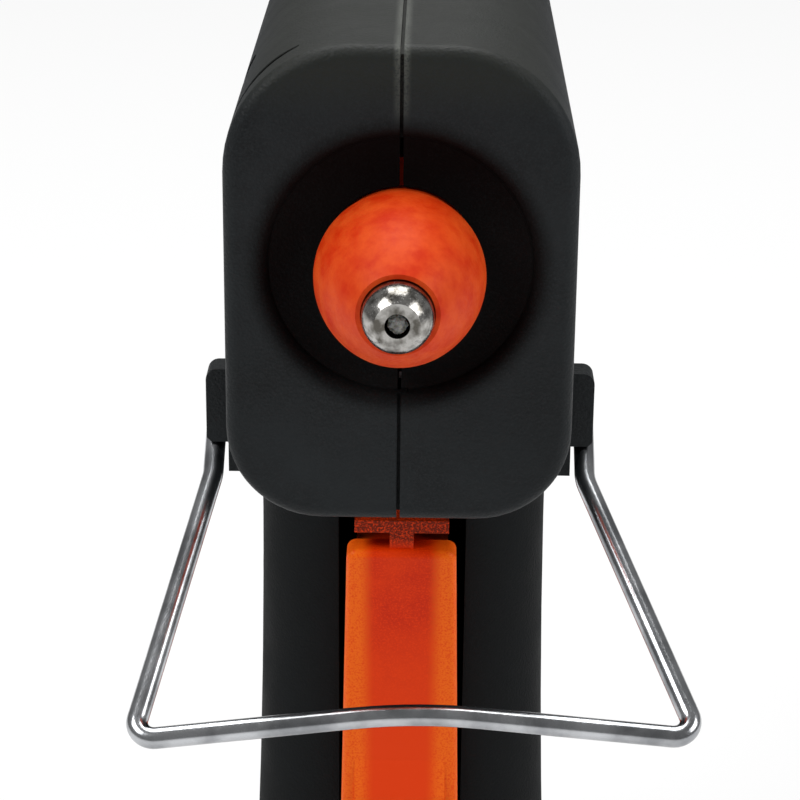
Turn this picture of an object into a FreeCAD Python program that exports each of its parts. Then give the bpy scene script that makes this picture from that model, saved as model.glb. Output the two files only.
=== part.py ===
"""Full-size hot-glue gun, as an assembly of separate pieces, in millimetres.

The barrel lies along Y with the nozzle towards -Y, the handle hangs down -Z, and X = 0 is the
plane where the two housing shells meet. The origin is the centre of the glue-stick inlet's mouth.
"""

import FreeCAD, Part
import math
import os

from FreeCAD import Vector

# Housing
BARREL_LENGTH = 135.0        # front face to rear face
INLET_LIP = 1.5              # how far the inlet bush stands out of the rear face
BARREL_WIDTH = 38.0
BARREL_TOP = 24.2            # barrel axis up to the top
BARREL_BOTTOM = 29.3         # barrel axis down to the underside
REAR_BOTTOM = 23.0           # barrel axis down to the underside at the rear end
WALL = 2.2
TOP_EDGE_R = 14.0            # long edges of the top, the rear and the handle's back
BOTTOM_EDGE_R = 10.5         # long edges of the underside and the handle's front
FACE_EDGE_R = 1.5            # soft edge round the front face
REAR_TOP_R = 22.0
REAR_BOTTOM_R = 17.0
SEAM_GAP = 0.4               # visible groove between the two shells
LIP_INSETS = (1.0, 1.6)      # outer and inner skin of the lip that bridges the seam inside the wall
LIP_REACH = 0.9              # how far the lip runs into the right shell

# Handle, its stations measured back from the front face
HANDLE_FRONT_TOP = 46.5
HANDLE_FRONT_BASE = 54.0
HANDLE_BACK_TOP = 90.0
HANDLE_BACK_BASE = 98.0
HANDLE_DROP = 138.0          # barrel axis down to the handle's base
HANDLE_FLARE_R = 1400.0      # very large side radius that widens the handle downwards
FLARE_START = 40.0           # barrel axis down to where the sides start to widen
FRONT_CROTCH_R = 9.0
BACK_CROTCH_R = 20.0
BASE_EDGE_R = 2.0

# Dished recess round the nozzle
DISH_R = 14.2
DISH_ROLL_R = 1.6
DISH_DEPTH = 2.4
NOSE_WALL = 2.0              # wall left behind the dish

# Side ears that carry the stand
EAR_TOP = 14.5               # barrel axis down to the ear's top
EAR_BOTTOM = 23.5
EAR_FRONT = 8.0
EAR_LENGTH = 3.6
EAR_PROUD = 2.8
EAR_ROUND = 1.3
PAD_BOTTOM = 26.8
PAD_LENGTH = 12.0
PAD_PROUD = 0.35

# Grip groove in the left shell's upper front corner
GROOVE_BACK = 6.2            # middle of the slot behind the front face
GROOVE_WIDTH = 2.1           # at its widest
GROOVE_DEPTH = 1.5
GROOVE_ANGLES = (14.0, 61.0)  # swept along the corner, from the side up towards the top

# Wire stand
WIRE_R = 1.15
STAND_PIVOT = (14.6, -20.6)  # behind the front face, and height from the barrel axis
STAND_REACHES = (44.3, 43.1)  # pivot to the bar's left and right corners
STAND_SHANK = 10.5           # straight part before the legs splay
STAND_LEAN = 56.5            # degrees the legs swing forward of straight down
STAND_LEG_GAP = 0.45         # leg to the housing's side
STAND_HALF_WIDTHS = (27.5, 32.2)   # corner offsets to the left and to the right
STAND_BOW = 3.3              # how far the bar bows back towards the pivots
STAND_BEND_R = 1.9
STAND_TUCK = 6.5             # length of the wire's end inside the housing
STAND_FOLD = 92.0            # degrees from the forward stop to folded back

# Heating chamber and nozzle
CHAMBER_FRONT = 8.0
CHAMBER_LENGTH = 47.0
CHAMBER_R = 8.6
CHAMBER_BORE_R = 5.9
SPIGOT_R = 7.4
SPIGOT_LENGTH = 5.0
THREAD_R = 4.4
THREAD_LENGTH = 8.0
POCKET_HALF_WIDTH = 7.5
POCKET_DROP = 16.5
POCKET_START = 9.0           # behind the chamber's front end
POCKET_LENGTH = 27.0
SLOT_HALF_WIDTH = 6.0
SLOT_TOP = 10.0
SLOT_BOTTOM = 14.6
FILM_THICKNESS = 0.3
PLATE_THICKNESS = 0.4
NOZZLE_HEX_R = 6.4
NOZZLE_NECK_R = 3.1
TIP_R = 3.75
TIP_REACH = 15.7             # ball tip's centre in front of the front face
TIP_FLAT = 2.9               # ball tip's centre to its flat end
ORIFICE_R = 1.3
VALVE_BORE_R = 2.5
BALL_R = 1.8
SLEEVE_NECK_R = 8.1          # where it leaves the dish
SLEEVE_BULB = ((8.8, 0.0), (9.15, 1.7), (9.1, 3.8), (8.7, 6.2), (7.95, 8.8), (6.95, 11.2), (5.8, 13.2))
SLEEVE_TIP_R = 4.35          # flat ring round the ball tip
SLEEVE_FLANGE_R = 11.2
SLEEVE_FLANGE = 1.3
HOLDER_FLANGE_R = 14.0
HOLDER_GROOVE_R = 11.9
HOLDER_FLANGE = 1.3
BULKHEAD = 2.0
FRONT_HOLDER = 12.0          # holder centres behind the front face
REAR_HOLDER = 49.6

# Stick feed
STICK_R = 5.6
GUIDE_SLEEVE_LENGTH = 9.0
GUIDE_SLEEVE_R = 9.0
CARRIAGE_START = 77.5
CARRIAGE_LENGTH = 14.0
CARRIAGE_R = 9.6
CARRIAGE_BORE_R = 6.3
WING_REACH = 14.6
WING_HALF_THICKNESS = 1.6
EAR_GAP = 2.6                # half the gap between a fork's two ears
EAR_THICKNESS = 2.2
PIN_R = 1.5
LEVER_PIVOT = (78.0, -38.0)
LEVER_HALF_THICKNESS = 2.0
LEVER_HALF_WIDTH = 4.2
LEVER_UP = 24.0              # pivot up to the carriage's drive pin
LEVER_DOWN = 20.0            # pivot down to the trigger's pin
TRIGGER_TRAVEL = 10.0
CAM_PIN_HEIGHT = 13.2
CAM_REACH = 7.2
CAM_BITE = 12.0              # degrees the cam turns while feeding
CAM_FORWARD = 26.0           # degrees its teeth stand ahead of straight down at rest
GUIDE_BULKHEAD = 104.0
INLET_BORE_R = 6.2
INLET_TUBE_R = 8.8
INLET_FLANGE_R = 11.0
INLET_LAND = 4.2             # thickness of the rear wall round the bush
INLET_LENGTH = 12.0

# Trigger, its stations measured back from the front face
TRIGGER_FRONT_TOP = 40.0
TRIGGER_FRONT_MID = 43.4
TRIGGER_FRONT_BASE = 45.6
TRIGGER_TOP = 51.0           # barrel axis down to the finger plate's top edge
TRIGGER_BASE = 98.0
TRIGGER_HALF_TOP = 7.1
TRIGGER_HALF_BASE = 8.1
TRIGGER_PLATE = 4.2
TRIGGER_BODY_HALF = 6.1
TRIGGER_CORNER_R = 1.3
NECK_HALF_WIDTH = 1.55
NECK_RISE = 2.2
CROSSBAR_HALF_WIDTH = 6.1
CROSSBAR_HEIGHT = 1.7
SPRING_DROP = 82.0
SPRING_R = 3.6
SPRING_WIRE_R = 0.45
SPRING_TURNS = 9

# Cord inlet in the handle's base, stations behind the front face
CORD_INLET = 78.0
CORD_BORE_R = 3.3
GLAND_R = 4.9
GLAND_FLANGE_R = 7.0
GLAND_LENGTH = 7.0
CLAMP_DROP = 123.0
CLAMP_HALF_LENGTH = 9.0
BLOCK_DROP = 108.0

# Screws that close the housing: stations behind the front face and heights from the axis
SCREWS = ((24.0, 14.6), (114.0, 12.6), (36.0, -20.6), (113.0, -13.6), (88.0, -100.0), (64.0, -126.0))
SCREW_SHANK_R = 1.2
SCREW_HEAD_R = 2.7
SCREW_HEAD_H = 1.9
SCREW_SEAT = 12.0            # seam plane to the head's seat
SCREW_REACH = 9.0            # seam plane to the screw's tip
BOSS_R = 3.4

# Clearances
CLEAR = 0.3                  # between pieces that move past each other
FIT = 0.1                    # between pieces that are fixed together
RUNNING = 0.05               # radial clearance of a pin that turns in its hole
EPS = 1.0                    # overrun of a cutting tool

FACE_Y = -(BARREL_LENGTH + INLET_LIP)
REAR_Y = -INLET_LIP
HALF = BARREL_WIDTH / 2.0
X_AXIS = Vector(1, 0, 0)
Y_AXIS = Vector(0, 1, 0)
Z_AXIS = Vector(0, 0, 1)
BIG = 400.0


def at(station):
    """Y of a station measured back from the front face."""
    return FACE_Y + station


def box(x0, x1, y0, y1, z0, z1):
    return Part.makeBox(x1 - x0, y1 - y0, z1 - z0, Vector(x0, y0, z0))


def rod(start, axis, radius, length):
    return Part.makeCylinder(radius, length, start, axis)


def along_y(radius, y0, y1, x=0.0, z=0.0):
    return rod(Vector(x, y0, z), Y_AXIS, radius, y1 - y0)


def along_x(radius, x0, x1, y, z):
    return rod(Vector(x0, y, z), X_AXIS, radius, x1 - x0)


def ring(outer, inner, y0, y1):
    return along_y(outer, y0, y1).cut(along_y(inner, y0 - EPS, y1 + EPS))


def fuse(*shapes):
    result = shapes[0].fuse(list(shapes[1:])) if len(shapes) > 1 else shapes[0]
    return result.removeSplitter()


def rounded_outline(corners):
    """Closed wire through (point, radius) corners, each rounded with a tangent arc."""
    count = len(corners)
    edges = []
    ends = []
    for i, (point, radius) in enumerate(corners):
        before = (corners[i - 1][0] - point).normalize()
        after = (corners[(i + 1) % count][0] - point).normalize()
        if radius <= 0:
            ends.append((point, point, None))
            continue
        half = before.getAngle(after) / 2.0
        setback = radius / math.tan(half)
        middle = point + (before + after).normalize() * (radius / math.sin(half) - radius)
        ends.append((point + before * setback, point + after * setback, middle))
    for i, (first, last, middle) in enumerate(ends):
        if middle is not None:
            edges.append(Part.Arc(first, middle, last).toShape())
        following = ends[(i + 1) % count][0]
        if (following - last).Length > 1e-6:
            edges.append(Part.LineSegment(last, following).toShape())
    return Part.Wire(edges)


def revolve_about_barrel(points):
    """Solid of revolution about the barrel axis from (radius, y) points."""
    wire = Part.makePolygon([Vector(r, y, 0) for r, y in points + points[:1]])
    return Part.Face(wire).revolve(Vector(0, 0, 0), Y_AXIS, 360)


def side_outline(inset):
    """Barrel and handle seen from the side, inset from the outer surface."""
    lean_front = math.atan2(HANDLE_FRONT_BASE - HANDLE_FRONT_TOP, HANDLE_DROP - BARREL_BOTTOM)
    lean_back = math.atan2(HANDLE_BACK_BASE - HANDLE_BACK_TOP, HANDLE_DROP - BARREL_BOTTOM)
    front_shift = inset / math.cos(lean_front)
    back_shift = inset / math.cos(lean_back)
    drop = HANDLE_DROP - inset
    share = (drop - BARREL_BOTTOM) / (HANDLE_DROP - BARREL_BOTTOM)
    front_base = HANDLE_FRONT_TOP + share * (HANDLE_FRONT_BASE - HANDLE_FRONT_TOP)
    back_base = HANDLE_BACK_TOP + share * (HANDLE_BACK_BASE - HANDLE_BACK_TOP)
    corners = (
        (Vector(0, at(inset), BARREL_TOP - inset), 0),
        (Vector(0, REAR_Y - inset, BARREL_TOP - inset), REAR_TOP_R - inset),
        (Vector(0, REAR_Y - inset, inset - REAR_BOTTOM), REAR_BOTTOM_R - inset),
        (Vector(0, at(HANDLE_BACK_TOP - back_shift), inset - BARREL_BOTTOM), BACK_CROTCH_R + inset),
        (Vector(0, at(back_base - back_shift), -drop), 0),
        (Vector(0, at(front_base + front_shift), -drop), 0),
        (Vector(0, at(HANDLE_FRONT_TOP + front_shift), inset - BARREL_BOTTOM), FRONT_CROTCH_R + inset),
        (Vector(0, at(inset), inset - BARREL_BOTTOM), 0),
    )
    return rounded_outline(corners)


def front_outline(inset):
    """Barrel and handle seen from the front: straight sides that flare down the handle."""
    half = HALF - inset
    radius = HANDLE_FLARE_R + inset

    def flare(depth):
        fall = depth - FLARE_START
        return half + radius - math.sqrt(radius * radius - fall * fall)

    low = HANDLE_DROP + 10.0
    middle = (low + FLARE_START) / 2.0
    top = Vector(half, 0, BARREL_TOP + 10.0)
    knee = Vector(half, 0, -FLARE_START)
    end = Vector(flare(low), 0, -low)
    bulge = Vector(flare(middle), 0, -middle)

    def mirrored(p):
        return Vector(-p.x, p.y, p.z)

    edges = (
        Part.LineSegment(mirrored(top), top).toShape(),
        Part.LineSegment(top, knee).toShape(),
        Part.Arc(knee, bulge, end).toShape(),
        Part.LineSegment(end, mirrored(end)).toShape(),
        Part.Arc(mirrored(end), mirrored(bulge), mirrored(knee)).toShape(),
        Part.LineSegment(mirrored(knee), mirrored(top)).toShape(),
    )
    return Part.Wire(edges)


def is_long_edge(edge, inset):
    """True for the edges that run along the body's two sides."""
    middle = edge.valueAt((edge.FirstParameter + edge.LastParameter) / 2.0)
    tangent = edge.tangentAt((edge.FirstParameter + edge.LastParameter) / 2.0)
    return abs(middle.x) > HALF - inset - 0.5 and abs(tangent.x) < 0.2 and not is_end_edge(edge, inset)


def is_end_edge(edge, inset):
    """True for edges lying wholly in the front face or in the handle's base."""
    bounds = edge.BoundBox
    on_face = bounds.YMax < at(inset) + 0.01
    on_base = bounds.ZMax < inset - HANDLE_DROP + 0.01
    return on_face or on_base


def body_block(inset):
    """The whole housing's outer shape, moved inwards by inset."""
    side = Part.Face(side_outline(inset))
    side.translate(Vector(-BARREL_WIDTH, 0, 0))
    profile = side.extrude(Vector(2 * BARREL_WIDTH, 0, 0))
    front = Part.Face(front_outline(inset))
    front.translate(Vector(0, -BIG, 0))
    block = profile.common(front.extrude(Vector(0, 2 * BIG, 0)))
    lower_start = at((HANDLE_FRONT_TOP + HANDLE_BACK_TOP) / 2.0)
    long_edges = [e for e in block.Edges if is_long_edge(e, inset)]
    lower = [e for e in long_edges if e.CenterOfMass.y < lower_start and e.CenterOfMass.z < 0]
    upper = [e for e in long_edges if not any(e.isSame(low) for low in lower)]
    block = block.makeFillet(TOP_EDGE_R - inset, upper)
    lower = [e for e in block.Edges if is_long_edge(e, inset) and e.CenterOfMass.y < lower_start
             and e.CenterOfMass.z < -BARREL_BOTTOM + 2 * inset + 1.0 and abs(e.CenterOfMass.x) > HALF - inset - 1.0]
    block = block.makeFillet(BOTTOM_EDGE_R - inset, lower)
    if inset == 0:
        face_loop = [e for e in block.Edges if e.BoundBox.YMax < FACE_Y + 0.01]
        block = block.makeFillet(FACE_EDGE_R, face_loop)
        base_loop = [e for e in block.Edges if e.BoundBox.ZMax < 0.01 - HANDLE_DROP]
        block = block.makeFillet(BASE_EDGE_R, base_loop)
    return block


def dish_cut():
    """Everything in front of the dished recess: a rolled lip, then a hollow curve down to the sleeve."""
    lip = DISH_R + DISH_ROLL_R
    floor_r = SLEEVE_NECK_R + CLEAR
    lip_start = Vector(lip, FACE_Y, 0)
    lip_turn = DISH_ROLL_R * math.sin(math.radians(45))
    lip_middle = Vector(lip - lip_turn, FACE_Y + DISH_ROLL_R - lip_turn, 0)
    lip_end = Vector(DISH_R, FACE_Y + DISH_ROLL_R, 0)
    floor = Vector(floor_r, FACE_Y + DISH_DEPTH + 0.6, 0)
    hollow = Vector((DISH_R + floor_r) / 2 + 1.0, FACE_Y + DISH_DEPTH + 0.15, 0)
    axis_floor = Vector(0, floor.y, 0)
    axis_front = Vector(0, FACE_Y - EPS, 0)
    front = Vector(lip, FACE_Y - EPS, 0)
    edges = (
        Part.Arc(lip_start, lip_middle, lip_end).toShape(),
        Part.Arc(lip_end, hollow, floor).toShape(),
        Part.LineSegment(floor, axis_floor).toShape(),
        Part.LineSegment(axis_floor, axis_front).toShape(),
        Part.LineSegment(axis_front, front).toShape(),
        Part.LineSegment(front, lip_start).toShape(),
    )
    return Part.Face(Part.Wire(edges)).revolve(Vector(0, 0, 0), Y_AXIS, 360)


def nose_back():
    """Y of the front wall's inner face behind the dish."""
    return FACE_Y + DISH_DEPTH + 0.6 + NOSE_WALL - 0.6


def bulkhead(station, hole_r):
    """Cross wall of the housing with a round hole on the barrel axis."""
    half = BULKHEAD / 2.0
    wall = box(-HALF, HALF, at(station) - half, at(station) + half, -BARREL_BOTTOM, BARREL_TOP)
    return wall.cut(along_y(hole_r, at(station) - half - EPS, at(station) + half + EPS))


def rails():
    """Ledges above and below the carriage's wings, on both sides."""
    front = at(CARRIAGE_START + 1.0 - TRIGGER_TRAVEL * LEVER_UP / LEVER_DOWN - 2.0)
    back = at(CARRIAGE_START + CARRIAGE_LENGTH + 1.0)
    low = WING_HALF_THICKNESS + CLEAR
    high = low + 1.8
    inner = WING_REACH - 3.6
    pieces = [box(sx[0], sx[1], front, back, sz[0], sz[1])
              for sx in ((inner, HALF), (-HALF, -inner)) for sz in ((low, high), (-high, -low))]
    return fuse(*pieces)


def trigger_ledges():
    """Ribs the trigger's body slides between, inside the handle."""
    front = at(TRIGGER_FRONT_BASE + TRIGGER_PLATE + TRIGGER_TRAVEL + 1.0)
    back = at(LEVER_PIVOT[0] + 10.0)
    spans = ((-TRIGGER_TOP - 3.0 + CLEAR, -TRIGGER_TOP - 3.0 + CLEAR + 1.8),
             (-TRIGGER_BASE + 3.0 - CLEAR - 1.8, -TRIGGER_BASE + 3.0 - CLEAR))
    sides = ((EAR_GAP + EAR_THICKNESS + CLEAR, HALF), (-HALF, -EAR_GAP - EAR_THICKNESS - CLEAR))
    return fuse(*[box(x0, x1, front, back, z0, z1) for x0, x1 in sides for z0, z1 in spans])


def pin_bosses(half_gap, radius, station, height):
    """Two bosses that carry a cross pin on either side of a gap."""
    return [along_x(radius, half_gap, HALF, at(station), height),
            along_x(radius, -HALF, -half_gap, at(station), height)]


def inner_features():
    """Bulkheads, ledges and bosses inside the housing, before they are trimmed to it."""
    nose = along_y(SLEEVE_FLANGE_R + 4.0, FACE_Y, nose_back())
    land = along_y(INLET_FLANGE_R + 1.4, REAR_Y - INLET_LAND, REAR_Y)
    parts = [nose, land, bulkhead(FRONT_HOLDER, HOLDER_GROOVE_R + FIT), bulkhead(REAR_HOLDER, HOLDER_GROOVE_R + FIT),
             bulkhead(GUIDE_BULKHEAD, STICK_R + 1.0), rails(), trigger_ledges()]
    parts += pin_bosses(LEVER_HALF_THICKNESS + CLEAR + 0.4, PIN_R + 2.2, *LEVER_PIVOT)
    seat_front = at(HANDLE_BACK_TOP - 6.5)
    parts.append(along_y(SPRING_R + 2.2, seat_front, at(HANDLE_BACK_BASE), z=-SPRING_DROP))
    for station, height in SCREWS:
        parts.append(along_x(BOSS_R, -HALF - 6.0, HALF + 6.0, at(station), height))
    for side in (-CLAMP_HALF_LENGTH + 2.4, CLAMP_HALF_LENGTH - 2.4):
        parts.append(along_x(2.4, 3.4, HALF + 6.0, at(CORD_INLET) + side, -CLAMP_DROP))
    for drop in (BLOCK_DROP - 5.6, BLOCK_DROP + 5.6):
        parts.append(box(6.0, HALF + 6.0, at(CORD_INLET - 10.0), at(CORD_INLET + 10.0), -drop - 0.9, -drop + 0.9))
    return parts


def ears():
    """Stand ears on both sides: a flat pad that holds the pivot and a stop block ahead of the wire."""
    y0 = at(EAR_FRONT)
    pad = box(-HALF - PAD_PROUD, HALF + PAD_PROUD, y0, y0 + PAD_LENGTH, -PAD_BOTTOM, -EAR_TOP)
    half = HALF + EAR_PROUD
    stop = box(-half, half, y0, y0 + EAR_LENGTH, -EAR_BOTTOM, -EAR_TOP)
    top_edges = [e for e in stop.Edges if abs(e.tangentAt(0).y) > 0.9 and e.CenterOfMass.z > -EAR_TOP - 0.1]
    stop = stop.makeFillet(EAR_ROUND, top_edges)
    low_edges = [e for e in stop.Edges if abs(e.tangentAt(0).y) > 0.9 and e.CenterOfMass.z < -EAR_BOTTOM + 0.1]
    stop = stop.makeChamfer(0.8, low_edges)
    inner = box(-HALF + 7.0, HALF - 7.0, y0 - EPS, y0 + PAD_LENGTH + EPS, -PAD_BOTTOM - EPS, -EAR_TOP + EPS)
    return fuse(pad, stop).cut([inner, *leg_sweeps()])


def leg_sweeps():
    """Space under the stop blocks where the stand's legs rest and swing back, on both sides."""
    room = WIRE_R + CLEAR
    start = HALF + PAD_PROUD
    sweeps = []
    for x0, x1 in ((start, BIG), (-BIG, -start)):
        sweep = box(x0, x1, -room, BIG, -BIG, room)
        sweep.rotate(Vector(0, 0, 0), X_AXIS, -STAND_LEAN)
        sweep.translate(Vector(0, at(STAND_PIVOT[0]), STAND_PIVOT[1]))
        sweeps.append(sweep)
    return sweeps


def housing_cuts():
    """Every opening through the housing's walls."""
    slot_top = -TRIGGER_TOP + CLEAR + NECK_RISE + CROSSBAR_HEIGHT
    slot_half = TRIGGER_HALF_BASE + CLEAR
    trigger_slot = box(-slot_half, slot_half, at(HANDLE_FRONT_TOP - 10), at(HANDLE_FRONT_TOP + 9),
                       -TRIGGER_BASE - CLEAR - 0.2, slot_top + 0.4)
    passage = box(-EAR_GAP - EAR_THICKNESS - 2.0, EAR_GAP + EAR_THICKNESS + 2.0, at(LEVER_PIVOT[0] - 13),
                  at(LEVER_PIVOT[0] + 12.0), -BARREL_BOTTOM - 6, -BARREL_BOTTOM + 6)
    cuts = [dish_cut(), trigger_slot, passage,
            along_y(SLEEVE_NECK_R + CLEAR, FACE_Y - EPS, nose_back() + EPS),
            along_y(INLET_TUBE_R + FIT, REAR_Y - INLET_LAND - EPS, REAR_Y + EPS),
            rod(Vector(0, at(CORD_INLET), -HANDLE_DROP - EPS), Z_AXIS, GLAND_R + FIT, WALL + 2 * EPS)]
    pivot_y, pivot_z = at(STAND_PIVOT[0]), STAND_PIVOT[1]
    cuts.append(along_x(WIRE_R + RUNNING, -HALF - EPS, -HALF + STAND_TUCK + EPS, pivot_y, pivot_z))
    cuts.append(along_x(WIRE_R + RUNNING, HALF - STAND_TUCK - EPS, HALF + EPS, pivot_y, pivot_z))
    cuts.append(along_x(PIN_R + RUNNING, -8.0, 8.0, at(LEVER_PIVOT[0]), LEVER_PIVOT[1]))
    cuts.append(along_y(SPRING_R + SPRING_WIRE_R + CLEAR, at(HANDLE_BACK_TOP - 6.5) - EPS,
                        at(HANDLE_BACK_TOP - 4.5), z=-SPRING_DROP))
    return cuts


def grip_groove():
    """V slot round the left shell's upper front corner, deepest in its middle and pointed at both ends."""
    low, high = (math.radians(a) for a in GROOVE_ANGLES)
    middle, swing = (low + high) / 2.0, (high - low) / 2.0
    shift = GROOVE_DEPTH / (1.0 - math.cos(swing))
    apex = TOP_EDGE_R + shift * math.cos(swing)
    corner = Vector(-HALF + TOP_EDGE_R, at(GROOVE_BACK), BARREL_TOP - TOP_EDGE_R)
    centre = corner - Vector(-math.cos(middle), 0, math.sin(middle)) * shift
    start = middle - swing / 2.0
    ray = Vector(-math.cos(start), 0, math.sin(start))
    mouth = centre + ray * (apex + 2.0 * GROOVE_DEPTH)
    half = Y_AXIS * GROOVE_WIDTH
    section = Part.Face(Part.makePolygon([centre + ray * apex, mouth + half, mouth - half, centre + ray * apex]))
    return section.revolve(centre, Y_AXIS, math.degrees(swing))


def housing():
    """Outer block hollowed out, with its inner features and openings."""
    outer = body_block(0)
    cavity = body_block(WALL)
    features = inner_features()
    trimmed = features[0].fuse(features[1:]).common(outer)
    shell = outer.cut(cavity).fuse([trimmed, ears()])
    return shell.cut(housing_cuts())


def seam_skin(room, x_from, x_to):
    """The layer of the wall that holds the seam's lip, thicker by room on each face, between two X planes."""
    outer, inner = LIP_INSETS
    skin = body_block(outer - room).cut(body_block(inner + room))
    return skin.common(box(x_from, x_to, -BIG, BIG, -BIG, BIG))


def shell_half(whole, side):
    """The half of the housing on one side (-1 left, 1 right) of the seam groove."""
    gap = SEAM_GAP / 2.0
    if side < 0:
        half = whole.common(box(-BIG, -gap, -BIG, BIG, -BIG, BIG))
        half = half.fuse(whole.common(seam_skin(0.0, -LIP_REACH, LIP_REACH)))
        holes = [along_x(SCREW_SHANK_R + 0.3, -SCREW_SEAT - EPS, EPS, at(s), h) for s, h in SCREWS]
        holes += [along_x(SCREW_HEAD_R + 0.3, -BIG, -SCREW_SEAT, at(s), h) for s, h in SCREWS]
        return half.cut(holes + [grip_groove()])
    half = whole.common(box(gap, BIG, -BIG, BIG, -BIG, BIG))
    holes = [seam_skin(FIT, -EPS, LIP_REACH + FIT)]
    holes += [along_x(SCREW_SHANK_R + RUNNING, -EPS, SCREW_REACH + EPS, at(s), h) for s, h in SCREWS]
    for offset in (-CLAMP_HALF_LENGTH + 2.4, CLAMP_HALF_LENGTH - 2.4):
        holes.append(along_x(0.9 + RUNNING, 0, 12.0, at(CORD_INLET) + offset, -CLAMP_DROP))
    return half.cut(holes)


def cross_head(centre, axis_sign, radius, height):
    """Recess cutter for a crosshead screw whose head faces along X."""
    arm = radius * 0.62
    blade = 0.45
    x0, x1 = sorted((centre.x, centre.x + axis_sign * height))
    return fuse(box(x0, x1, centre.y - arm, centre.y + arm, centre.z - blade, centre.z + blade),
                box(x0, x1, centre.y - blade, centre.y + blade, centre.z - arm, centre.z + arm))


def screw(seat_x, direction, shank_r, head_r, head_h, length, y, z):
    """Pan-head screw along X; direction is where its tip points."""
    tip_x = seat_x + direction * length
    shank = along_x(shank_r, min(seat_x, tip_x), max(seat_x, tip_x), y, z)
    head_x = seat_x - direction * head_h
    head = along_x(head_r, min(seat_x, head_x), max(seat_x, head_x), y, z)
    rim = [e for e in head.Edges if abs(e.CenterOfMass.x - head_x) < 0.01]
    head = head.makeFillet(head_h * 0.45, rim)
    recess = cross_head(Vector(head_x - direction * EPS, y, z), direction, head_r, head_h * 0.6 + EPS)
    return fuse(shank, head).cut(recess)


def shell_screws():
    return Part.makeCompound([
        screw(-SCREW_SEAT - FIT / 2, 1, SCREW_SHANK_R, SCREW_HEAD_R, SCREW_HEAD_H,
              SCREW_SEAT + SCREW_REACH, at(s), h) for s, h in SCREWS])


def sleeve():
    """Bulb-shaped silicone sleeve over the nozzle, held by a flange behind the front wall."""
    rim = FACE_Y - TIP_REACH + 0.6
    flange = nose_back() + FIT
    hex_front = flange + SLEEVE_FLANGE
    inner = NOZZLE_NECK_R + 0.15
    tip_room = TIP_R + FIT
    bulb = [Vector(SLEEVE_NECK_R, FACE_Y + DISH_DEPTH - 0.2, 0)]
    bulb += [Vector(radius, FACE_Y - reach, 0) for radius, reach in SLEEVE_BULB]
    bulb.append(Vector(SLEEVE_TIP_R, rim, 0))
    curve = Part.BSplineCurve()
    curve.interpolate(bulb)
    rest = [bulb[-1]] + [Vector(x, y, 0) for x, y in (
        (tip_room, rim), (tip_room, rim + 0.4), (inner, rim + 2.2), (inner, rim + 6.0),
        (NOZZLE_HEX_R - 0.6, hex_front), (SLEEVE_FLANGE_R, hex_front), (SLEEVE_FLANGE_R, flange),
        (SLEEVE_NECK_R, flange))] + [bulb[0]]
    outline = Part.Wire([curve.toShape()] + Part.makePolygon(rest).Edges)
    return Part.Face(outline).revolve(Vector(0, 0, 0), Y_AXIS, 360)


def nozzle():
    """Steel nozzle: threaded root, hexagon, cone and a ball tip with a flat end."""
    root = at(CHAMBER_FRONT + THREAD_LENGTH)
    hex_front = nose_back() + FIT + SLEEVE_FLANGE + FIT
    tip = FACE_Y - TIP_REACH
    hexagon = Part.Face(Part.makePolygon([
        Vector(NOZZLE_HEX_R * math.cos(math.radians(60 * i)), 0, NOZZLE_HEX_R * math.sin(math.radians(60 * i)))
        for i in range(7)])).extrude(Vector(0, at(CHAMBER_FRONT) - FIT - hex_front, 0))
    hexagon.translate(Vector(0, hex_front, 0))
    stem = revolve_about_barrel([
        (0, tip), (NOZZLE_NECK_R, tip), (NOZZLE_NECK_R, tip + 6.6), (NOZZLE_HEX_R - 0.8, hex_front),
        (THREAD_R, hex_front), (THREAD_R, root), (0, root)])
    ball = Part.makeSphere(TIP_R, Vector(0, tip, 0))
    ball = ball.common(along_y(2 * TIP_R, tip - TIP_FLAT, tip + 2 * TIP_R))
    bore = fuse(along_y(ORIFICE_R, tip - BIG, root), along_y(VALVE_BORE_R, tip + 7.0, root + EPS))
    return fuse(stem, hexagon, ball).cut(bore)


def valve_seat():
    root = at(CHAMBER_FRONT + THREAD_LENGTH)
    return ring(VALVE_BORE_R - RUNNING, ORIFICE_R, root - 2.0, root)


def check_ball():
    root = at(CHAMBER_FRONT + THREAD_LENGTH)
    return Part.makeSphere(BALL_R, Vector(0, root - 2.0 - math.sqrt(BALL_R ** 2 - ORIFICE_R ** 2) - 0.03, 0))


def coil(radius, wire_r, y0, y1, turns, z=0.0):
    """Open coil spring along Y."""
    length = y1 - y0 - 2 * wire_r
    helix = Part.makeHelix(length / turns, length, radius)
    section = Part.Wire(Part.makeCircle(wire_r, Vector(radius, 0, 0), Y_AXIS))
    spring = helix.makePipeShell([section], True, True)
    spring.rotate(Vector(0, 0, 0), X_AXIS, -90)
    spring.translate(Vector(0, y0 + wire_r, z))
    return Part.Solid(spring) if spring.ShapeType == "Shell" else spring


def valve_spring():
    tip = FACE_Y - TIP_REACH
    ball_front = at(CHAMBER_FRONT + THREAD_LENGTH) - 2.0 - 2 * BALL_R + 0.3
    return coil(VALVE_BORE_R - 0.65, 0.28, tip + 7.0 + RUNNING, ball_front - 0.2, 7)


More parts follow.
